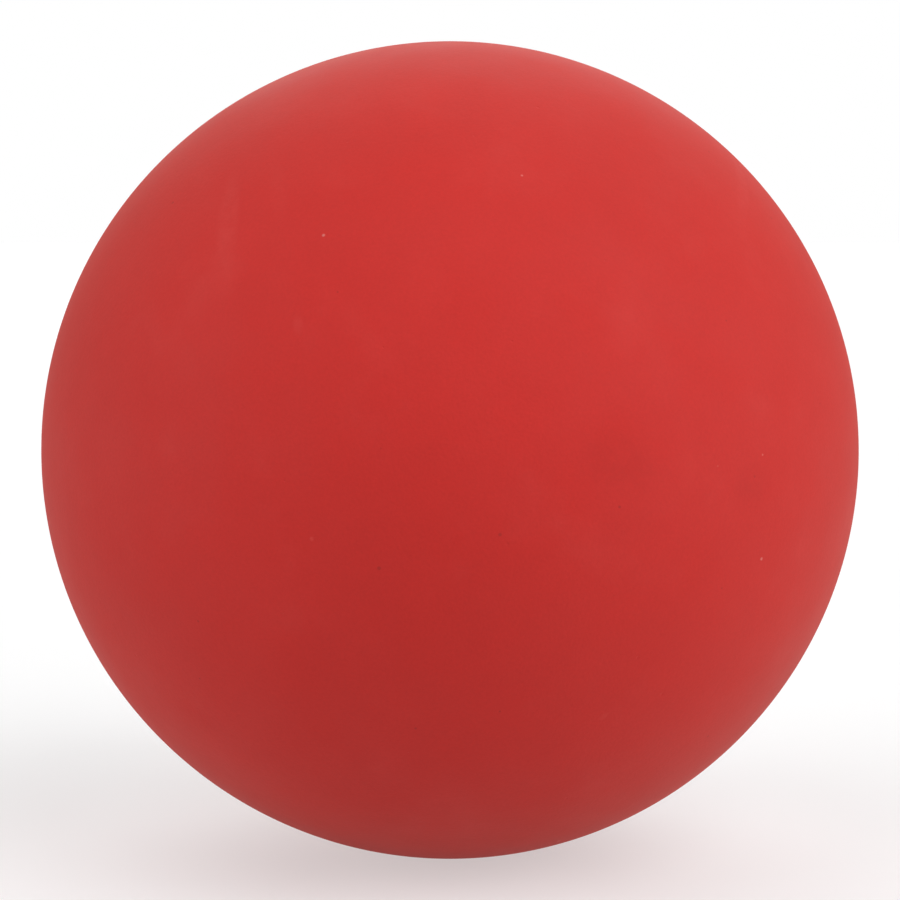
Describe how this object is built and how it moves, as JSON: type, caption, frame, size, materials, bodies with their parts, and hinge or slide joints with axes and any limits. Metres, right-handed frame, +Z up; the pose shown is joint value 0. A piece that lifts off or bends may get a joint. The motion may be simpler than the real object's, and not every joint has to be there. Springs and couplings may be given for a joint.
{
  "type": "massage ball",
  "caption": "Smooth, firm, solid rubber ball for self-massage, pressed between the body and a floor, wall or palm and rolled.",
  "frame": {"origin": "centre of the ball", "axes": "+Z up; Y is the mould's axis, along which the two mould cups close, so the trimmed parting line runs round the ball in the XZ plane; the front view looks along +Y"},
  "size_m": [0.0636, 0.0636, 0.0636],
  "materials": {
    "rubber": "matte red rubber, coloured right through, as moulded"
  },
  "bodies": {
    "root": {"ball": "rubber"}
  },
  "joints": []
}
